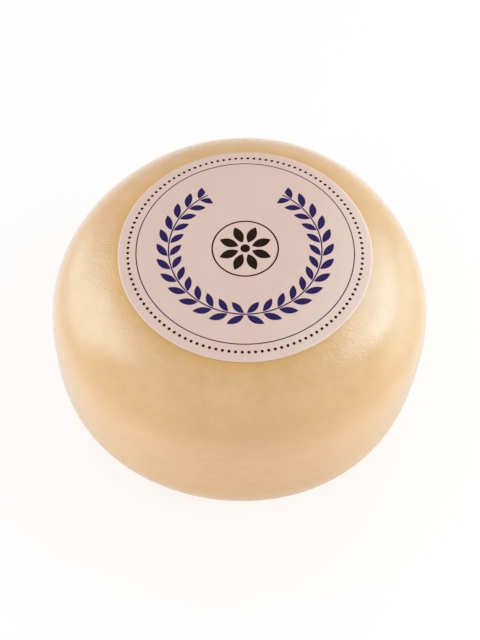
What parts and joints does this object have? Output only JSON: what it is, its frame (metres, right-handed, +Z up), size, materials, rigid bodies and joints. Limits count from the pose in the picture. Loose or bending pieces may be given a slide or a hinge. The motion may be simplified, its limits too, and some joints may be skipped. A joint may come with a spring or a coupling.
{
  "type": "goat cheese wheel",
  "caption": "Whole round goat's-milk cheese with a cream coated rind, broad soft shoulders and a slightly uneven outline, a round paper label on its flat top, resting on a flat foot.",
  "frame": {"origin": "on the resting face, under the middle of the wheel's box", "axes": "+Z up through the wheel, -Y towards the near side of the label, +X to the right of it"},
  "size_m": [0.1844, 0.182, 0.1066],
  "materials": {
    "rind": "cream to pale apricot coated rind with a satin gloss and a fine cloth grain",
    "paper": "thin matt off-white paper with a plain printed ornament"
  },
  "bodies": {
    "root": {"cheese_wheel": "rind", "paper_label": "paper"}
  },
  "joints": []
}
